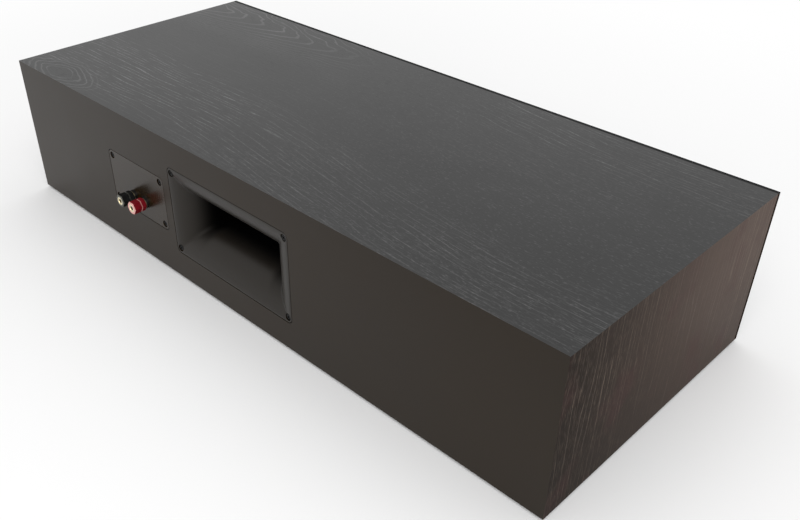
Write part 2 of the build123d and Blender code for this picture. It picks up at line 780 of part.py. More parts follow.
with BuildPart() as woofer_yokes:
    with BuildSketch(yoke_face):
        with Locations(*woofer_spots):
            Circle(top_plate_radius)
    extrude(amount=-yoke_plate)
    with BuildSketch(yoke_face):
        with Locations(*woofer_spots):
            Circle(pole_radius)
    extrude(amount=magnet_height + top_plate)
    with BuildSketch(top_plate_face):
        with Locations(*woofer_spots):
            Circle(vent_radius)
    extrude(amount=-(top_plate + magnet_height + yoke_plate), mode=Mode.SUBTRACT)
save(woofer_yokes.part, "woofer_yokes")

with BuildPart() as woofer_screws:
    with Locations(front_face):
        with Locations(*woofer_spots):
            with PolarLocations(frame_screw_circle, frame_screws, start_angle=frame_screw_turn):
                add(driver_screw.part)
save(woofer_screws.part, "woofer_screws")

# Tweeter waveguide: square flange, round horn, rear plate and terminal tab
guide_rear = guide_depth + guide_plate
with BuildPart() as waveguide:
    with BuildSketch(Plane.XY):
        RectangleRounded(guide_side, guide_side, guide_corner)
        Circle(guide_mouth, mode=Mode.SUBTRACT)
    extrude(amount=-guide_flange)
    with BuildSketch(Plane.XZ):
        with BuildLine():
            horn = ThreePointArc(
                (guide_mouth, 0), (guide_belly_radius, -guide_belly_depth), (guide_throat, -guide_depth))
            rear = Polyline(
                horn @ 1, (guide_throat, -guide_rear), (guide_plate_radius, -guide_rear),
                (guide_plate_radius, -guide_depth), (guide_throat + guide_root, -guide_depth))
            skin = ThreePointArc(
                rear @ 1, (guide_belly_radius + guide_wall, -guide_belly_depth - guide_wall),
                (guide_body, -guide_flange))
            Polyline(skin @ 1, (guide_body, 0), horn @ 0)
        make_face()
    revolve(axis=Axis.Z)
    with BuildSketch(Plane.XY.offset(-guide_rear)):
        with Locations((0, -guide_plate_radius)):
            Rectangle(tab_width, 2 * tab_thickness)
    extrude(amount=guide_plate)
    with GridLocations(guide_screw_span, guide_screw_span, 2, 2):
        CounterSinkHole(
            driver_shank_radius + seat_gap, driver_head_radius + seat_gap, 2 * guide_flange, countersink)
save(waveguide.part.moved(front_face.location), "tweeter_waveguide")

# Tweeter dome with its clamped rim and coil, in one film moulding
rim_front = -guide_rear
dome_crown = rim_front + dome_rise
dome_inside = dome_radius - dome_coil
with BuildPart() as dome:
    with BuildSketch(Plane.XZ):
        with BuildLine():
            RadiusArc((dome_radius, rim_front), (0, dome_crown), -ball(dome_radius, dome_rise))
            Line((0, dome_crown), (0, dome_crown - dome_film))
            RadiusArc(
                (0, dome_crown - dome_film), (dome_inside, rim_front - dome_film),
                ball(dome_inside, dome_rise))
            Polyline(
                (dome_inside, rim_front - dome_film), (dome_inside, rim_front - dome_coil_length),
                (dome_radius, rim_front - dome_coil_length), (dome_radius, rim_front - dome_film),
                (dome_rim, rim_front - dome_film), (dome_rim, rim_front), (dome_radius, rim_front))
        make_face()
    revolve(axis=Axis.Z)
save(dome.part.moved(front_face.location), "tweeter_dome")

# Tweeter motor
tweeter_plate_face = front_face.offset(-guide_rear - dome_film)
tweeter_magnet_face = tweeter_plate_face.offset(-tweeter_plate)
tweeter_yoke_face = tweeter_magnet_face.offset(-tweeter_magnet_height)
with BuildPart() as tweeter_top_plate:
    with BuildSketch(tweeter_plate_face):
        Circle(tweeter_plate_radius)
        Circle(dome_radius + dome_gap, mode=Mode.SUBTRACT)
    extrude(amount=-tweeter_plate)
save(tweeter_top_plate.part, "tweeter_top_plate")

with BuildPart() as tweeter_magnet:
    with BuildSketch(tweeter_magnet_face):
        Circle(tweeter_magnet_radius)
        Circle(tweeter_magnet_hole, mode=Mode.SUBTRACT)
    extrude(amount=-tweeter_magnet_height)
save(tweeter_magnet.part, "tweeter_magnet")

with BuildPart() as tweeter_yoke:
    with BuildSketch(tweeter_yoke_face):
        Circle(tweeter_plate_radius)
    extrude(amount=-tweeter_yoke_plate)
    with BuildSketch(tweeter_yoke_face):
        Circle(dome_radius - dome_coil - dome_gap)
    extrude(amount=tweeter_magnet_height + tweeter_plate)
save(tweeter_yoke.part, "tweeter_yoke")

with BuildPart() as tweeter_screws:
    with Locations(front_face):
        with GridLocations(guide_screw_span, guide_screw_span, 2, 2):
            add(driver_screw.part)
save(tweeter_screws.part, "tweeter_screws")

# Crossover board on moulded standoffs
pcb_plane = Plane.XY.offset(pcb_top_z)
with BuildPart() as crossover_board:
    with BuildSketch(pcb_plane):
        with Locations((pcb_x, pcb_y)):
            Rectangle(pcb_width, pcb_depth)
            with GridLocations(standoff_span_x, standoff_span_y, 2, 2):
                Circle(standoff_pin + thread_gap, mode=Mode.SUBTRACT)
    extrude(amount=-pcb_thickness)
save(crossover_board.part, "crossover_board")

with BuildPart() as crossover_standoffs:
    with BuildSketch(Plane.XY.offset(floor_z)):
        with Locations((pcb_x, pcb_y)):
            with GridLocations(standoff_span_x, standoff_span_y, 2, 2):
                Circle(standoff_radius)
    extrude(amount=standoff_height)
    with BuildSketch(Plane.XY.offset(floor_z - standoff_pin_depth)):
        with Locations((pcb_x, pcb_y)):
            with GridLocations(standoff_span_x, standoff_span_y, 2, 2):
                Circle(standoff_pin)
    extrude(amount=standoff_pin_depth + standoff_height + 2 * pcb_thickness)
save(crossover_standoffs.part, "crossover_standoffs")


# A wound coil between two cheeks, standing on the board
def wound_coil(x, y, radius, height):
    with BuildPart() as coil:
        with BuildSketch(pcb_plane):
            with Locations((x, y)):
                Circle(radius)
        extrude(amount=height)
        with BuildSketch(pcb_plane, pcb_plane.offset(height - coil_cheek)):
            with Locations((x, y)):
                Circle(radius + coil_cheek_step)
        extrude(amount=coil_cheek)
        with BuildSketch(pcb_plane):
            with Locations((x, y)):
                Circle(coil_core)
        extrude(amount=height, mode=Mode.SUBTRACT)
    return coil.part


big_step = big_coil_radius + coil_cheek_step
small_step = small_coil_radius + coil_cheek_step
parts_left_x = pcb_x - pcb_width / 2 + 2 * standoff_inset
parts_front_y = pcb_front_y + 2 * lead_edge + part_spacing
big_coil_x = parts_left_x + big_step
big_coil_y = parts_front_y + big_step
small_coil_x = big_coil_x + big_step + part_spacing + small_step
save(wound_coil(big_coil_x, big_coil_y, big_coil_radius, big_coil_height), "woofer_inductor")
save(wound_coil(small_coil_x, parts_front_y + small_step, small_coil_radius, small_coil_height),
     "tweeter_inductor")

capacitor_x = small_coil_x + small_step + part_spacing + capacitor_width / 2
with BuildPart() as crossover_capacitors:
    with BuildSketch(pcb_plane):
        with Locations(
                (capacitor_x, parts_front_y + capacitor_length / 2),
                (small_coil_x, parts_front_y + 2 * small_step + part_spacing + capacitor_length / 2)):
            Rectangle(capacitor_width, capacitor_length)
    extrude(amount=capacitor_height)
    fillet(crossover_capacitors.edges().filter_by(Axis.Z), radius=block_round)
save(crossover_capacitors.part, "crossover_capacitors")

with BuildPart() as crossover_resistor:
    with BuildSketch(pcb_plane):
        with Locations((capacitor_x, parts_front_y + capacitor_length + part_spacing + resistor_length / 2)):
            Rectangle(resistor_width, resistor_length)
    extrude(amount=resistor_width)
    fillet(crossover_resistor.edges().filter_by(Axis.Z), radius=block_round)
save(crossover_resistor.part, "crossover_resistor")


# Bend radii of a lead: each bend takes the same share of its shorter run
def bend_radii(points):
    radii = []
    corners = [Vector(*p) for p in points]
    for before, here, after in zip(corners, corners[1:], corners[2:]):
        turn = radians((here - before).get_angle(after - here))
        run = min((here - before).length, (after - here).length)
        radii.append(bend_share * run / tan(turn / 2))
    return radii


# One round lead along straight runs joined by arcs
def lead_tube(points):
    radii = bend_radii(points)
    print("lead bends", [round(r, 1) for r in radii])
    with BuildPart() as lead:
        with BuildLine() as path:
            FilletPolyline(*points, radius=radii)
        with BuildSketch(Plane(origin=path.line @ 0, z_dir=path.line % 0)):
            Circle(lead_radius)
        sweep(path=path.line)
    return lead.part


# Input leads from the post tails down to the back of the board
tail_y = back_y + tail_end
drop_y = tail_y - lead_reach
post_z = mid_z - post_drop
with BuildPart() as input_leads:
    for post_x, post_y in post_places:
        add(lead_tube([(-post_x, tail_y, post_z), (-post_x, drop_y, post_z), (-post_x, drop_y, pcb_top_z)]))
save(input_leads.part, "input_leads")

# Driver leads from the front of the board along the floor and up to each tab
woofer_tab_y = front_y + motor_face - basket_wall - tab_thickness / 2
guide_tab_y = front_y + guide_rear - guide_plate / 2
woofer_tab_z = mid_z - tab_radius
guide_tab_z = mid_z - guide_plate_radius - tab_thickness
lead_ends = [
    (woofer_x[0], woofer_tab_y, woofer_tab_z), (woofer_x[1], woofer_tab_y, woofer_tab_z),
    (0.0, guide_tab_y, guide_tab_z),
    (woofer_x[2], woofer_tab_y, woofer_tab_z), (woofer_x[3], woofer_tab_y, woofer_tab_z)]
first_solder_x = pcb_x - lead_pitch
with BuildPart() as driver_leads:
    for i, (end_x, end_y, end_z) in enumerate(lead_ends):
        solder_x = first_solder_x + i * lead_pitch
        run_y = lead_runs[i]
        add(lead_tube([
            (solder_x, solder_y, pcb_top_z), (solder_x, solder_y, arch_z), (solder_x, arch_y, arch_z),
            (solder_x, land_y, lead_z), (solder_x, run_y, lead_z), (end_x, run_y, lead_z),
            (end_x, end_y, lead_z), (end_x, end_y, end_z)]))
save(driver_leads.part, "driver_leads")
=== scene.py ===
import bpy
import json
import math
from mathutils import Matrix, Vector


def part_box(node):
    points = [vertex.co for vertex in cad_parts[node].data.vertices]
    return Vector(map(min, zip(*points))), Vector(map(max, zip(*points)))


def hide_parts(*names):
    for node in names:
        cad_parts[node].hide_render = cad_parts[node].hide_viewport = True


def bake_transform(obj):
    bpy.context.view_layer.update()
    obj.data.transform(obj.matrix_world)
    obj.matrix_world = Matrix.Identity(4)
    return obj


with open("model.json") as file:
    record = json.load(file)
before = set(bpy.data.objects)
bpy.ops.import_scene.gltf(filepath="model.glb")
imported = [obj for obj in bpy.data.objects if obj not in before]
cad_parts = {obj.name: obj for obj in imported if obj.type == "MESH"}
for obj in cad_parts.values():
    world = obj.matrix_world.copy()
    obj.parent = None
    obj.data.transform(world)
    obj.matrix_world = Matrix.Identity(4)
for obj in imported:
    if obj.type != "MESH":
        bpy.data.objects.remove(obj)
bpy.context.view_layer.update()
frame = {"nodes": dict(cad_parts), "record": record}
nodes = frame["nodes"]
slotOf = {entry["node"]: entry["material_slot"] for entry in frame["record"]["subparts"]}
fullTurn = 2 * math.pi
noiseMiddle = 0.5
bpy.ops.object.select_all(action="DESELECT")
print("frame loaded:", len(nodes), "nodes")


class Wire:  # a shader socket that takes part in sums
    def __init__(self, tree, socket=None):
        self.tree = tree
        self.socket = socket

    def add(self, kind, settings=None, inputs=None, out=0):
        made = self.tree.nodes.new(kind)
        for key, value in (settings or {}).items():
            setattr(made, key, value)
        for key, value in (inputs or {}).items():
            if isinstance(value, Wire):
                self.tree.links.new(value.socket, made.inputs[key])
            else:
                made.inputs[key].default_value = value
        return Wire(self.tree, made.outputs[out])

    def sum(self, operation, first, second=0.0):
        return self.add("ShaderNodeMath", {"operation": operation}, {0: first, 1: second})

    def __add__(self, other):
        return self.sum("ADD", self, other)

    def __radd__(self, other):
        return self.sum("ADD", other, self)

    def __sub__(self, other):
        return self.sum("SUBTRACT", self, other)

    def __rsub__(self, other):
        return self.sum("SUBTRACT", other, self)

    def __mul__(self, other):
        return self.sum("MULTIPLY", self, other)

    def __rmul__(self, other):
        return self.sum("MULTIPLY", other, self)

    def __truediv__(self, other):
        return self.sum("DIVIDE", self, other)

    def __rtruediv__(self, other):
        return self.sum("DIVIDE", other, self)

    def __pow__(self, other):
        return self.sum("POWER", self, other)

    def __abs__(self):
        return self.sum("ABSOLUTE", self)

    def sine(self):
        return self.sum("SINE", self)

    def root(self):
        return self.sum("SQRT", self)

    def over(self, limit):
        return self.sum("GREATER_THAN", self, limit)

    def atLeast(self, other):
        return self.sum("MAXIMUM", self, other)

    def ease(self, low, high, start=0.0, end=1.0):  # soft step from start to end
        return self.add("ShaderNodeMapRange", {"interpolation_type": "SMOOTHSTEP"},
                        {0: self, 1: low, 2: high, 3: start, 4: end})

    def mixed(self, first, second):  # self picks between two colours
        return self.add("ShaderNodeMix", {"data_type": "RGBA"}, {0: self, 6: first, 7: second}, out=2)

    def into(self, shader, name):
        self.tree.links.new(self.socket, shader.inputs[name])


def rgb(red, green, blue):
    return (red, green, blue, 1.0)


def grey(level):
    return rgb(level, level, level)


def toned(colour, factor, lift=0.0):  # a paler or duller tone of a colour
    return rgb(*[min(1.0, part * factor + lift) for part in colour[:3]])


def startFinish(name, **values):  # a new material with its fixed shader values
    finish = bpy.data.materials.new(name)
    finish.use_nodes = True
    shader = finish.node_tree.nodes["Principled BSDF"]
    for key, value in values.items():
        shader.inputs[key.replace("_", " ")].default_value = value
    return finish, Wire(finish.node_tree), shader


def spotXyz(pen):  # object coordinates in metres
    spot = pen.add("ShaderNodeTexCoord", out=3)
    return [pen.add("ShaderNodeSeparateXYZ", None, {0: spot}, out=i) for i in range(3)]


def speckle(pen, x, y, z, detail=3.0, rough=0.55):  # noise at already scaled coordinates
    spot = pen.add("ShaderNodeCombineXYZ", None, {0: x, 1: y, 2: z})
    return pen.add("ShaderNodeTexNoise", {"noise_dimensions": "3D"},
                   {"Vector": spot, "Scale": 1.0, "Detail": detail, "Roughness": rough})


def stretchedNoise(pen, spot, scales, detail=3.0):  # its own scale in each direction
    x, y, z = [part * scale for part, scale in zip(spot, scales)]
    return speckle(pen, x, y, z, detail)


def evenNoise(pen, spot, scale, detail=3.0, rough=0.55):  # one scale in all directions
    x, y, z = [part * scale for part in spot]
    return speckle(pen, x, y, z, detail, rough)


def grainNoise(pen, along, across, noise, detail=2.0):  # noise is scale along, scale across, slice
    alongScale, acrossScale, level = noise
    return speckle(pen, along * alongScale, across * acrossScale, level, detail)


def swing(pen, along, across, noise):  # grain noise about zero
    return grainNoise(pen, along, across, noise) - noiseMiddle


def raiseGrain(pen, shader, height, depth, strength):  # bump into the shader's normal
    bump = pen.add("ShaderNodeBump", None, {"Height": height, "Distance": depth, "Strength": strength})
    bump.into(shader, "Normal")


# black ash vinyl on the cabinet sleeve, grain lines broken into dashes
ashLook = {
    "wanderNoise": (4.0, 12.0, 0.3), "wander": 0.012,
    "poreNoise": (130.0, 1400.0, 9.3), "poreStep": (0.52, 0.70),
    "cloudNoise": (7.0, 9.0, 2.2), "cloudTint": 0.02,
    "swayNoise": (7.0, 60.0, 1.7), "sway": 3.2, "lineTo": 0.99,
    "dotNoise": (330.0, 900.0, 3.3), "dotStep": (0.36, 0.60),
    "dashAcross": 420.0, "dashSlice": 4.1, "dashStep": (0.38, 0.62),
    "rimStep": (-0.1410, -0.1414), "rimDark": 0.85, "rimDull": 0.6,
    "poreDull": 0.06, "cloudDull": 0.06, "poreDepth": 0.5, "lineDepth": 0.4,
    "bumpDepth": 0.00005, "bumpStrength": 0.5}
topLook = {
    "dark": grey(0.001), "light": grey(0.120), "rough": 0.33, "gloss": 0.385, "alongAxis": 0,
    "linePitch": 0.0044, "lineFrom": 0.74, "dashes": 34.0, "dotFloor": 0.35,
    "bendStep": (0.10, -0.26, 0.0, 0.042),
    "patchNoise": (9.0, 14.0, 2.6), "patchStep": (0.36, 0.66),
    "stripFront": (0.005, 0.040), "stripBack": (0.130, 0.105), "stripAlong": (-0.16, 0.26, 0.28, 1.0),
    "frontAcross": (-0.070, -0.100), "frontAlong": (-0.02, -0.12),
    "dustNoise": (300.0, 900.0, 6.3), "dustStep": (0.58, 0.76), "dustAlong": (0.20, -0.10, 0.08, 0.26),
    "stripLines": 0.95, "frontLines": 0.48, "patchLines": 0.18, "stripPores": 0.20, "patchPores": 0.12,
    "archPatch": 0.9, "archEven": 0.7, "figurePores": 0.30, "figureEven": 0.32, "eyeClear": (1.4, 2.6)}
eyeLook = {
    "middle": (0.2727, 0.1166), "half": (0.025, 0.011), "point": 1.5,
    "rippleNoise": (45.0, 80.0, 5.2), "ripple": 0.6, "ringPitch": 0.40,
    "lineStep": (0.45, 0.96), "innerStep": (0.75, 0.95), "outerStep": (2.9, 1.8)}
archLook = {
    "axis": -0.112, "bend": 110.0, "pitch": 0.030,
    "swayNoise": (22.0, 45.0, 8.4), "swayAcross": 0.02, "swayAlong": 0.05,
    "lineStep": (0.70, 0.98), "acrossStep": (-0.040, -0.075), "alongStep": (0.03, 0.21)}
# side copy of the vinyl: its brown tint and lighter front colour are painted warm light
sideLook = {
    "dark": rgb(0.007, 0.003, 0.0005), "front": rgb(0.080, 0.053, 0.041), "red": rgb(0.046, 0.016, 0.016),
    "light": rgb(0.172, 0.132, 0.106), "rough": 0.32, "gloss": 0.022, "alongAxis": 2,
    "linePitch": 0.0052, "lineFrom": 0.82, "dashes": 8.0, "dotFloor": 0.60,
    "rearStep": (0.02, 0.09), "rearLines": 0.20, "frontStep": (-0.06, -0.12), "frontLines": 0.40,
    "evenLines": 0.26, "lowShadeFade": (0.0, 0.11, 0.55, 1.0), "linePores": 0.40, "evenPores": 0.06,
    "paintedLightAcross": (0.15, -0.13), "paintedLightUp": (0.0, 0.13, 0.55, 1.0),
    "redNoise": (22.0, 26.0, 7.1), "redStep": (0.48, 0.72, 0.0, 0.35)}


def grainLines(pen, along, bent, look):
    sway = swing(pen, along, bent, ashLook["swayNoise"])
    turns = bent / look["linePitch"] + sway * ashLook["sway"]
    line = (turns * fullTurn).sine().ease(look["lineFrom"], ashLook["lineTo"])
    dots = grainNoise(pen, along, bent, ashLook["dotNoise"], detail=1.0)
    dashNoise = (look["dashes"], ashLook["dashAcross"], ashLook["dashSlice"])
    dashes = grainNoise(pen, along, bent, dashNoise).ease(*ashLook["dashStep"])
    return line * dots.ease(*ashLook["dotStep"], look["dotFloor"], 1.0) * dashes


def eyeRings(pen, along, across):  # pointed rings round a knot near the back right corner
    (midAlong, midAcross), (halfAlong, halfAcross) = eyeLook["middle"], eyeLook["half"]
    point = eyeLook["point"]
    lengthwise = abs((along - midAlong) / halfAlong) ** point
    crosswise = abs((across - midAcross) / halfAcross) ** point
    reach = (lengthwise + crosswise) ** (1 / point)
    ripple = swing(pen, along, across, eyeLook["rippleNoise"]) * eyeLook["ripple"]
    rings = ((reach + ripple) * (fullTurn / eyeLook["ringPitch"])).sine().ease(*eyeLook["lineStep"])
    return reach, rings * reach.ease(*eyeLook["innerStep"]) * reach.ease(*eyeLook["outerStep"])


def archLines(pen, along, across):  # nested arches near the front right corner
    sway = swing(pen, along, across, archLook["swayNoise"])
    away = across - archLook["axis"] + sway * archLook["swayAcross"]
    turns = (along - away * away * archLook["bend"] + sway * archLook["swayAlong"]) / archLook["pitch"]
    line = (turns * fullTurn).sine().ease(*archLook["lineStep"])
    return line * across.ease(*archLook["acrossStep"]) * along.ease(*archLook["alongStep"])


def topFigure(pen, along, across, bent, pores):
    bent = bent - along.ease(*topLook["bendStep"])  # lines arch into the back edge
    streak = grainLines(pen, along, bent, topLook)
    patch = grainNoise(pen, along, across, topLook["patchNoise"]).ease(*topLook["patchStep"])
    strip = bent.ease(*topLook["stripFront"]) * bent.ease(*topLook["stripBack"])
    strip = strip * along.ease(*topLook["stripAlong"])
    front = across.ease(*topLook["frontAcross"]) * along.ease(*topLook["frontAlong"])
    dust = grainNoise(pen, along, across, topLook["dustNoise"], detail=1.0).ease(*topLook["dustStep"])
    lined = strip * topLook["stripLines"] + front * topLook["frontLines"] + patch * topLook["patchLines"]
    pored = strip * topLook["stripPores"] + patch * topLook["patchPores"]
    lines = streak * lined + pores * pored + dust * along.ease(*topLook["dustAlong"])
    reach, eye = eyeRings(pen, along, across)
    arches = archLines(pen, along, across) * (patch * topLook["archPatch"] + topLook["archEven"])
    figure = (eye + arches) * (pores * topLook["figurePores"] + topLook["figureEven"])
    return streak, lines * reach.ease(*topLook["eyeClear"]) + figure, topLook["dark"]


def sideFigure(pen, along, across, bent, pores):  # painted light: a warm brown tint, lighter towards the front and the top, and painted shade where the grain lines fade towards the bottom
    streak = grainLines(pen, along, bent, sideLook)
    rear = across.ease(*sideLook["rearStep"]) * sideLook["rearLines"]
    front = across.ease(*sideLook["frontStep"]) * sideLook["frontLines"]
    # painted shade: fewer grain lines towards the bottom
    busy = (rear + front + sideLook["evenLines"]) * along.ease(*sideLook["lowShadeFade"])
    lines = streak * busy + pores * (busy * sideLook["linePores"] + sideLook["evenPores"])
    # painted light: lighter and browner towards the front and the top
    paintedLight = across.ease(*sideLook["paintedLightAcross"]) * along.ease(*sideLook["paintedLightUp"])
    red = grainNoise(pen, along, across, sideLook["redNoise"]).ease(*sideLook["redStep"])
    ground = red.mixed(paintedLight.mixed(sideLook["dark"], sideLook["front"]), sideLook["red"])
    return streak, lines, ground


def ashFinish(name, look, figure):
    finish, pen, shader = startFinish(name, Specular_IOR_Level=look["gloss"])
    spot = spotXyz(pen)
    along, across = spot[look["alongAxis"]], spot[1]
    bent = across + swing(pen, along, across, ashLook["wanderNoise"]) * ashLook["wander"]
    pores = grainNoise(pen, along, bent, ashLook["poreNoise"], detail=1.0).ease(*ashLook["poreStep"])
    cloud = grainNoise(pen, along, across, ashLook["cloudNoise"])
    streak, lines, ground = figure(pen, along, across, bent, pores)
    rimmed = across.ease(*ashLook["rimStep"])  # darker and duller in a band along the front edge
    shade = (lines + cloud * ashLook["cloudTint"]).mixed(ground, look["light"])
    (rimmed * ashLook["rimDark"]).mixed(shade, look["dark"]).into(shader, "Base Color")
    dulled = pores * ashLook["poreDull"] + cloud * ashLook["cloudDull"] + rimmed * ashLook["rimDull"]
    (look["rough"] + dulled).into(shader, "Roughness")
    relief = 1.0 - pores * ashLook["poreDepth"] - streak * ashLook["lineDepth"]
    raiseGrain(pen, shader, relief, ashLook["bumpDepth"], ashLook["bumpStrength"])
    return finish


# smooth panels and mouldings: colour, roughness, gloss, grain to the metre, depth of grain
smoothLook = {
    "rear_vinyl": (rgb(0.010, 0.005, 0.0005), 0.33, 0.24, 900.0, 0.00002),
    "vinyl_base": (grey(0.010), 0.50, 0.40, 500.0, 0.00003),
    "plate_plastic": (rgb(0.012, 0.006, 0.001), 0.24, 0.34, 1500.0, 0.000003),
    "guide_plastic": (grey(0.008), 0.36, 0.45, 1800.0, 0.00002),
    "collar_plastic": (grey(0.005), 0.25, 0.45, 900.0, 0.00001),
    "panel_screw": (grey(0.003), 0.40, 0.16, 900.0, 0.00001),
    "driver_screw": (grey(0.006), 0.38, 0.30, 900.0, 0.00001),
    "foot_rubber": (grey(0.012), 0.75, 0.35, 1600.0, 0.00005),
    "surround_rubber": (grey(0.009), 0.48, 0.45, 2200.0, 0.00002),
    "frame_metal": (grey(0.013), 0.40, 0.45, 1400.0, 0.00004),
    "nylon": (rgb(0.78, 0.77, 0.71), 0.50, 0.45, 700.0, 0.00002),
    "cement": (rgb(0.68, 0.67, 0.62), 0.85, 0.30, 900.0, 0.00008),
    "film_case": (rgb(0.50, 0.10, 0.040), 0.30, 0.50, 500.0, 0.00002),
    "lead_sleeve": (rgb(0.045, 0.045, 0.050), 0.45, 0.45, 800.0, 0.00002)}
mouldLook = {
    "cloudScale": 11.0, "paler": 1.22, "cloudShare": 0.7, "fineShare": 0.3, "tintStep": (0.25, 0.75),
    "roughDrop": 0.05, "cloudDull": 0.10, "fineDull": 0.05, "bumpStrength": 0.7}


def smoothFinish(name):
    colour, rough, gloss, grain, depth = smoothLook[name]
    finish, pen, shader = startFinish(name, Specular_IOR_Level=gloss)
    spot = spotXyz(pen)
    fine = evenNoise(pen, spot, grain)
    cloud = evenNoise(pen, spot, mouldLook["cloudScale"])
    tint = (cloud * mouldLook["cloudShare"] + fine * mouldLook["fineShare"]).ease(*mouldLook["tintStep"])
    tint.mixed(colour, toned(colour, mouldLook["paler"])).into(shader, "Base Color")
    dulled = cloud * mouldLook["cloudDull"] + fine * mouldLook["fineDull"]
    (rough - mouldLook["roughDrop"] + dulled).into(shader, "Roughness")
    raiseGrain(pen, shader, fine, depth, mouldLook["bumpStrength"])
    return finish


# port moulding, satin on the flare; down the duct painted shade makes it dull black, with black metal
# taking out the reflection
portLook = {
    "colour": rgb(0.007, 0.004, 0.001), "ductShade": grey(0.0003), "rough": 0.32, "gloss": 0.34,
    "wallShadeStep": (0.036, 0.047, 0.0, 0.009), "ductShadeStep": (0.120, 0.094), "grain": 1800.0, "cloudScale": 11.0,
    "ductShadeShare": 0.9, "cloudShare": 0.1, "ductShadeMetal": 0.9,
    "roughDrop": 0.06, "cloudDull": 0.10, "fineDull": 0.05, "ductShadeDull": 0.55,
    "bumpDepth": 0.00002, "bumpStrength": 0.7}


def portFinish(name):
    finish, pen, shader = startFinish(name, Specular_IOR_Level=portLook["gloss"])
    spot = spotXyz(pen)
    wallShadeLead = abs(spot[0]).ease(*portLook["wallShadeStep"])  # the painted shade reaches nearer the mouth on the upright walls
    # painted shade: black further down the duct
    ductShade = (spot[1] - wallShadeLead).ease(*portLook["ductShadeStep"])
    fine = evenNoise(pen, spot, portLook["grain"])
    cloud = evenNoise(pen, spot, portLook["cloudScale"])
    ductShadeAmount = ductShade * (portLook["ductShadeShare"] + cloud * portLook["cloudShare"])
    ductShadeAmount.mixed(portLook["colour"], portLook["ductShade"]).into(shader, "Base Color")
    (ductShade * portLook["ductShadeMetal"]).into(shader, "Metallic")
    dulled = cloud * portLook["cloudDull"] + fine * portLook["fineDull"] + ductShade * portLook["ductShadeDull"]
    (portLook["rough"] - portLook["roughDrop"] + dulled).into(shader, "Roughness")
    raiseGrain(pen, shader, fine, portLook["bumpDepth"], portLook["bumpStrength"])
    return finish


# baffle in satin black paint, dead black round its rim; in the driver holes the dead black is painted
# shade; black metal there takes out the reflection
baffleLook = {
    "face": grey(0.007), "paler": grey(0.010), "rim": grey(0.0003), "rough": 0.42, "gloss": 0.14,
    "rimStep": (-0.14560, -0.14530), "orangePeel": 420.0, "cloudScale": 14.0,
    "cloudShare": 0.6, "peelShare": 0.4, "tintStep": (0.3, 0.7), "rimMetal": 0.95,
    "roughDrop": 0.06, "cloudDull": 0.12, "peelDull": 0.08, "rimDull": 0.4,
    "bumpDepth": 0.00005, "bumpStrength": 0.6}


def baffleFinish(name):
    finish, pen, shader = startFinish(name, Specular_IOR_Level=baffleLook["gloss"])
    spot = spotXyz(pen)
    # dead black mask: along the rim, and in the driver holes as painted shade
    rim = spot[1].ease(*baffleLook["rimStep"])
    peel = evenNoise(pen, spot, baffleLook["orangePeel"], detail=2.0)
    cloud = evenNoise(pen, spot, baffleLook["cloudScale"])
    tint = (cloud * baffleLook["cloudShare"] + peel * baffleLook["peelShare"]).ease(*baffleLook["tintStep"])
    paint = tint.mixed(baffleLook["face"], baffleLook["paler"])
    rim.mixed(paint, baffleLook["rim"]).into(shader, "Base Color")
    (rim * baffleLook["rimMetal"]).into(shader, "Metallic")
    dulled = cloud * baffleLook["cloudDull"] + peel * baffleLook["peelDull"] + rim * baffleLook["rimDull"]
    (baffleLook["rough"] - baffleLook["roughDrop"] + dulled).into(shader, "Roughness")
    raiseGrain(pen, shader, peel, baffleLook["bumpDepth"], baffleLook["bumpStrength"])
    return finish


# bright and plated metal: colour, roughness
metalLook = {
    "post_brass": (rgb(0.93, 0.84, 0.62), 0.20),
    "nut_brass": (rgb(0.80, 0.66, 0.40), 0.30),
    "motor_steel": (rgb(0.56, 0.57, 0.58), 0.34)}
turnedLook = {
    "marks": (300.0, 9000.0, 300.0), "cloudScale": 90.0, "duller": 0.80, "tintStep": (0.3, 0.7),
    "roughDrop": 0.06, "marksDull": 0.10, "cloudDull": 0.06, "bumpDepth": 0.000008, "bumpStrength": 0.5}
# painted shade in the gap behind the cap
gapShadeLook = {
    "colour": rgb(0.15, 0.12, 0.06), "step": (0.1348, 0.1340),
    "cloudShare": 0.3, "evenShare": 0.7, "dull": 0.2}


def metalFinish(name):
    colour, rough = metalLook[name]
    finish, pen, shader = startFinish(name, Metallic=1.0)
    spot = spotXyz(pen)
    marks = stretchedNoise(pen, spot, turnedLook["marks"], detail=2.0)  # turned round the post axis
    cloud = evenNoise(pen, spot, turnedLook["cloudScale"], detail=2.0)
    shade = cloud.ease(*turnedLook["tintStep"]).mixed(toned(colour, turnedLook["duller"]), colour)
    dulled = marks * turnedLook["marksDull"] + cloud * turnedLook["cloudDull"]
    if name == "post_brass":  # painted shade: darker and duller in the gap behind the cap
        gapShade = spot[1].ease(*gapShadeLook["step"]) * (cloud * gapShadeLook["cloudShare"] + gapShadeLook["evenShare"])
        shade = gapShade.mixed(shade, gapShadeLook["colour"])
        dulled = dulled + gapShade * gapShadeLook["dull"]
    shade.into(shader, "Base Color")
    (rough - turnedLook["roughDrop"] + dulled).into(shader, "Roughness")
    raiseGrain(pen, shader, marks, turnedLook["bumpDepth"], turnedLook["bumpStrength"])
    return finish


# post caps in moulded plastic, with a painted highlight on the end bevel and in the groove: colour,
# highlight colour
capColours = {
    "cap_black": (grey(0.003), rgb(0.10, 0.10, 0.085)),
    "cap_red": (rgb(0.14, 0.0005, 0.005), rgb(0.80, 0.42, 0.38))}
capLook = {
    "rough": 0.16, "gloss": 0.22, "cloudScale": 260.0, "grain": 2600.0,
    "paler": 1.25, "lift": 0.002, "tintStep": (0.3, 0.7),
    "bevelStep": (0.1450, 0.1452), "groove": 0.13775, "grooveStep": (0.00055, 0.00033),
    "grooveShare": 0.6, "highlightCloud": 0.5, "highlightEven": 0.6,
    "cloudDull": 0.08, "fineDull": 0.04, "bumpDepth": 0.000002, "bumpStrength": 0.4}


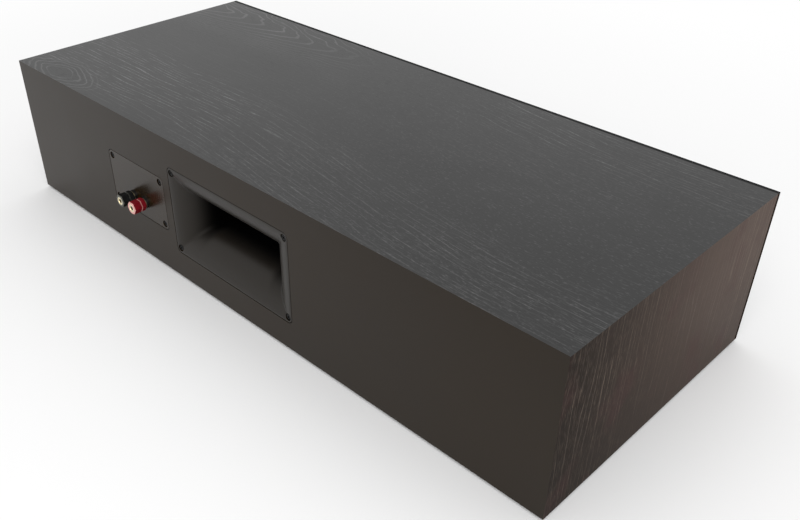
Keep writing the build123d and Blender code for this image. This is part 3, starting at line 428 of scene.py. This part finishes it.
def capFinish(name):
    colour, highlight = capColours[name]
    finish, pen, shader = startFinish(name, Specular_IOR_Level=capLook["gloss"])
    spot = spotXyz(pen)
    cloud = evenNoise(pen, spot, capLook["cloudScale"])
    fine = evenNoise(pen, spot, capLook["grain"], detail=2.0)
    paler = toned(colour, capLook["paler"], capLook["lift"])
    shade = cloud.ease(*capLook["tintStep"]).mixed(colour, paler)
    # painted highlight on the end bevel and in the groove
    bevel = spot[1].ease(*capLook["bevelStep"])
    groove = abs(spot[1] - capLook["groove"]).ease(*capLook["grooveStep"])
    highlighted = bevel.atLeast(groove * capLook["grooveShare"])
    highlighted = highlighted * (cloud * capLook["highlightCloud"] + capLook["highlightEven"])
    highlighted.mixed(shade, highlight).into(shader, "Base Color")
    (capLook["rough"] + cloud * capLook["cloudDull"] + fine * capLook["fineDull"]).into(shader, "Roughness")
    raiseGrain(pen, shader, fine, capLook["bumpDepth"], capLook["bumpStrength"])
    return finish


# woofer cones: pressed fibre with fine rings
coneLook = {
    "dark": rgb(0.036, 0.036, 0.038), "light": rgb(0.075, 0.075, 0.078), "rough": 0.50, "gloss": 0.4,
    "inner": 0.113, "outer": 0.226, "middle": 0.073, "ringPitch": 0.0016, "ringSwing": 0.5,
    "fibreScale": 420.0, "fibreDetail": 4.0, "fibreRough": 0.65, "fibreStep": (0.35, 0.7),
    "fibreShare": 0.8, "ringShare": 0.2, "fibreDull": 0.18, "ringDepth": 0.6, "fibreDepth": 0.4,
    "bumpDepth": 0.00008, "bumpStrength": 0.6}


def coneFinish(name):
    finish, pen, shader = startFinish(name, Specular_IOR_Level=coneLook["gloss"])
    spot = spotXyz(pen)
    wide = abs(spot[0])
    step = coneLook["outer"] - coneLook["inner"]
    sideways = wide - coneLook["inner"] - wide.over(coneLook["inner"] + step / 2) * step
    upward = spot[2] - coneLook["middle"]
    radius = (sideways ** 2.0 + upward ** 2.0).root()
    fibre = evenNoise(pen, spot, coneLook["fibreScale"], coneLook["fibreDetail"], coneLook["fibreRough"])
    turned = radius * (fullTurn / coneLook["ringPitch"])
    ring = turned.sine() * coneLook["ringSwing"] + coneLook["ringSwing"]
    tint = fibre.ease(*coneLook["fibreStep"]) * coneLook["fibreShare"] + ring * coneLook["ringShare"]
    tint.mixed(coneLook["dark"], coneLook["light"]).into(shader, "Base Color")
    (coneLook["rough"] + fibre * coneLook["fibreDull"]).into(shader, "Roughness")
    relief = ring * coneLook["ringDepth"] + fibre * coneLook["fibreDepth"]
    raiseGrain(pen, shader, relief, coneLook["bumpDepth"], coneLook["bumpStrength"])
    return finish


# inner pieces: dark, light, roughness, grain to the metre in x, y and z, depth of grain
innerLook = {
    "bare_board": (rgb(0.42, 0.30, 0.18), rgb(0.52, 0.40, 0.26), 0.85, (600, 600, 600), 0.00008),
    "circuit_board": (rgb(0.035, 0.16, 0.060), rgb(0.060, 0.24, 0.10), 0.35, (500, 180, 500), 0.00003),
    "wound_wire": (rgb(0.45, 0.17, 0.06), rgb(0.75, 0.38, 0.16), 0.30, (30, 30, 2600), 0.00020),
    "coil_copper": (rgb(0.50, 0.22, 0.09), rgb(0.78, 0.42, 0.20), 0.30, (60, 3800, 60), 0.00012),
    "spider_cloth": (rgb(0.50, 0.36, 0.14), rgb(0.68, 0.54, 0.27), 0.85, (1900, 1900, 1900), 0.00012),
    "ferrite": (rgb(0.045, 0.045, 0.050), rgb(0.085, 0.085, 0.090), 0.60, (420, 420, 420), 0.00010),
    "dome_film": (rgb(0.050, 0.050, 0.055), rgb(0.085, 0.085, 0.092), 0.42, (2400, 2400, 2400), 0.00004)}
weaveLook = {"tintStep": (0.3, 0.7), "roughDrop": 0.08, "dull": 0.16, "bumpStrength": 0.7}


def innerFinish(name):
    dark, light, rough, grain, depth = innerLook[name]
    finish, pen, shader = startFinish(name)
    weave = stretchedNoise(pen, spotXyz(pen), grain)
    weave.ease(*weaveLook["tintStep"]).mixed(dark, light).into(shader, "Base Color")
    (rough - weaveLook["roughDrop"] + weave * weaveLook["dull"]).into(shader, "Roughness")
    raiseGrain(pen, shader, weave, depth, weaveLook["bumpStrength"])
    return finish


finishes = {
    "vinyl_top": ashFinish("vinyl_top", topLook, topFigure),
    "vinyl_side": ashFinish("vinyl_side", sideLook, sideFigure),
    "cone_fibre": coneFinish("cone_fibre"),
    "port_plastic": portFinish("port_plastic"),
    "baffle_paint": baffleFinish("baffle_paint")}
for look, makeFinish in ((smoothLook, smoothFinish), (metalLook, metalFinish),
                         (capColours, capFinish), (innerLook, innerFinish)):
    for name in look:
        finishes[name] = makeFinish(name)
for node, thing in nodes.items():
    for holder in thing.material_slots:
        holder.material = finishes[slotOf[node]]
print("finishes:", len(finishes))


# surrounds and spiders: smooth welded copies of their own meshes stand in for them; a blend from basket to
# cone is worked out per point but not applied
wooferCount = 4
flexLook = {"surround": {"heldInset": 0.0046, "carriedInset": 0.0105},
            "spider": {"heldInset": 0.0049, "carriedInset": 0.0182}}
weldLook = {"gap": 0.000001, "sharpAngle": 0.9}


def weldedCopy(node):  # the node's own mesh, joined up and shaded smooth
    ring = bpy.data.objects.new(node + "_flex", nodes[node].data.copy())
    bpy.context.collection.objects.link(ring)
    bpy.ops.object.select_all(action="DESELECT")
    ring.select_set(True)
    bpy.context.view_layer.objects.active = ring
    bpy.ops.object.mode_set(mode="EDIT")
    bpy.ops.mesh.select_all(action="SELECT")
    bpy.ops.mesh.remove_doubles(threshold=weldLook["gap"])
    bpy.ops.mesh.customdata_custom_splitnormals_clear()
    bpy.ops.object.mode_set(mode="OBJECT")
    bpy.ops.object.shade_smooth_by_angle(angle=weldLook["sharpAngle"])
    return ring


def flexRing(number, kind):
    node = f"woofer_{number}_{kind}"
    ring = weldedCopy(node)
    low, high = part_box(node)
    middle = (low + high) / 2
    rim = (high.x - low.x) / 2
    held = rim - flexLook[kind]["heldInset"]
    carried = rim - flexLook[kind]["carriedInset"]
    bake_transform(ring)
    for point in ring.data.vertices:
        radius = math.hypot(point.co.x - middle.x, point.co.z - middle.z)
        share = min(max((held - radius) / (held - carried), 0.0), 1.0)
        share * share * (3 - 2 * share)
    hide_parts(node)


for number in range(1, wooferCount + 1):
    for kind in flexLook:
        flexRing(number, kind)
bpy.ops.object.select_all(action="DESELECT")
print("flexing rings:", wooferCount * len(flexLook))


# white floor that keeps the shadow near the cabinet, and a white surround
stageLook = {
    "white": grey(1.0), "floor": grey(0.92), "floorSize": 40.0, "floorRough": 0.9,
    "half": (0.33, 0.14), "whiteStep": (0.05, 0.80), "ambient": 0.72}


def seenDirectly(pen):  # camera, glossy and clear rays
    camera = pen.add("ShaderNodeLightPath", out="Is Camera Ray")
    glossy = pen.add("ShaderNodeLightPath", out="Is Glossy Ray")
    clear = pen.add("ShaderNodeLightPath", out="Is Transmission Ray")
    return camera.atLeast(glossy.atLeast(clear))


def floorFinish():
    finish, pen, shader = startFinish("floor_white", Base_Color=stageLook["floor"],
                                      Roughness=stageLook["floorRough"], Specular_IOR_Level=0.0)
    x, y, z = spotXyz(pen)
    aside = (abs(x) - stageLook["half"][0]).atLeast(0.0)
    behind = (abs(y) - stageLook["half"][1]).atLeast(0.0)
    away = (aside ** 2.0 + behind ** 2.0).root().ease(*stageLook["whiteStep"])
    white = pen.add("ShaderNodeEmission", None, {"Color": stageLook["white"], "Strength": 1.0})
    plain = Wire(pen.tree, shader.outputs[0])
    surface = pen.add("ShaderNodeMixShader", None, {0: away * seenDirectly(pen), 1: plain, 2: white})
    surface.into(finish.node_tree.nodes["Material Output"], "Surface")
    return finish


def whiteFloor():
    bpy.ops.mesh.primitive_plane_add(size=stageLook["floorSize"], location=(0, 0, 0))
    floor = bpy.context.object
    floor.name = "floor"
    floor.data.materials.append(floorFinish())


def whiteSurround():
    world = bpy.data.worlds.new("studio")
    bpy.context.scene.world = world
    world.use_nodes = True
    sky = world.node_tree.nodes["Background"]
    sky.inputs["Color"].default_value = stageLook["white"]
    seenDirectly(Wire(world.node_tree)).ease(0.0, 1.0, stageLook["ambient"], 1.0).into(sky, "Strength")


# soft boxes: place, aim, size, power
lampLook = {
    "rear_box": ((-1.3, 1.5, 1.8), (0.0, 0.0, 0.05), 2.2, 34.0),
    "top_box": ((0.5, -0.6, 2.3), (0.0, 0.0, 0.1), 1.8, 8.0)}


def softLamp(name):
    place, aim, size, power = lampLook[name]
    lamp = bpy.data.lights.new(name, "AREA")
    lamp.shape = "SQUARE"
    lamp.size = size
    lamp.energy = power
    box = bpy.data.objects.new(name, lamp)
    bpy.context.collection.objects.link(box)
    box.location = place
    box.rotation_euler = (Vector(aim) - Vector(place)).to_track_quat("-Z", "Y").to_euler()


# camera at the photo's viewing angle
cameraLook = {
    "place": (-0.52533, 0.49030, 0.46663), "towards": (0.57809, -0.57797, -0.57599),
    "lens": 39.833, "sensor": 36.0, "shiftX": 0.0407, "shiftY": 0.03745, "clipStart": 0.01}


def photoCamera():
    camera = bpy.data.cameras.new("photo_camera")
    camera.lens = cameraLook["lens"]
    camera.sensor_width = cameraLook["sensor"]
    camera.shift_x = cameraLook["shiftX"]
    camera.shift_y = cameraLook["shiftY"]
    camera.clip_start = cameraLook["clipStart"]
    eye = bpy.data.objects.new("photo_camera", camera)
    bpy.context.collection.objects.link(eye)
    eye.location = cameraLook["place"]
    eye.rotation_euler = Vector(cameraLook["towards"]).to_track_quat("-Z", "Y").to_euler()
    bpy.context.scene.camera = eye


whiteFloor()
whiteSurround()
for name in lampLook:
    softLamp(name)
photoCamera()
bpy.context.scene.view_settings.view_transform = "Standard"
print("stage, lamps and camera ready")
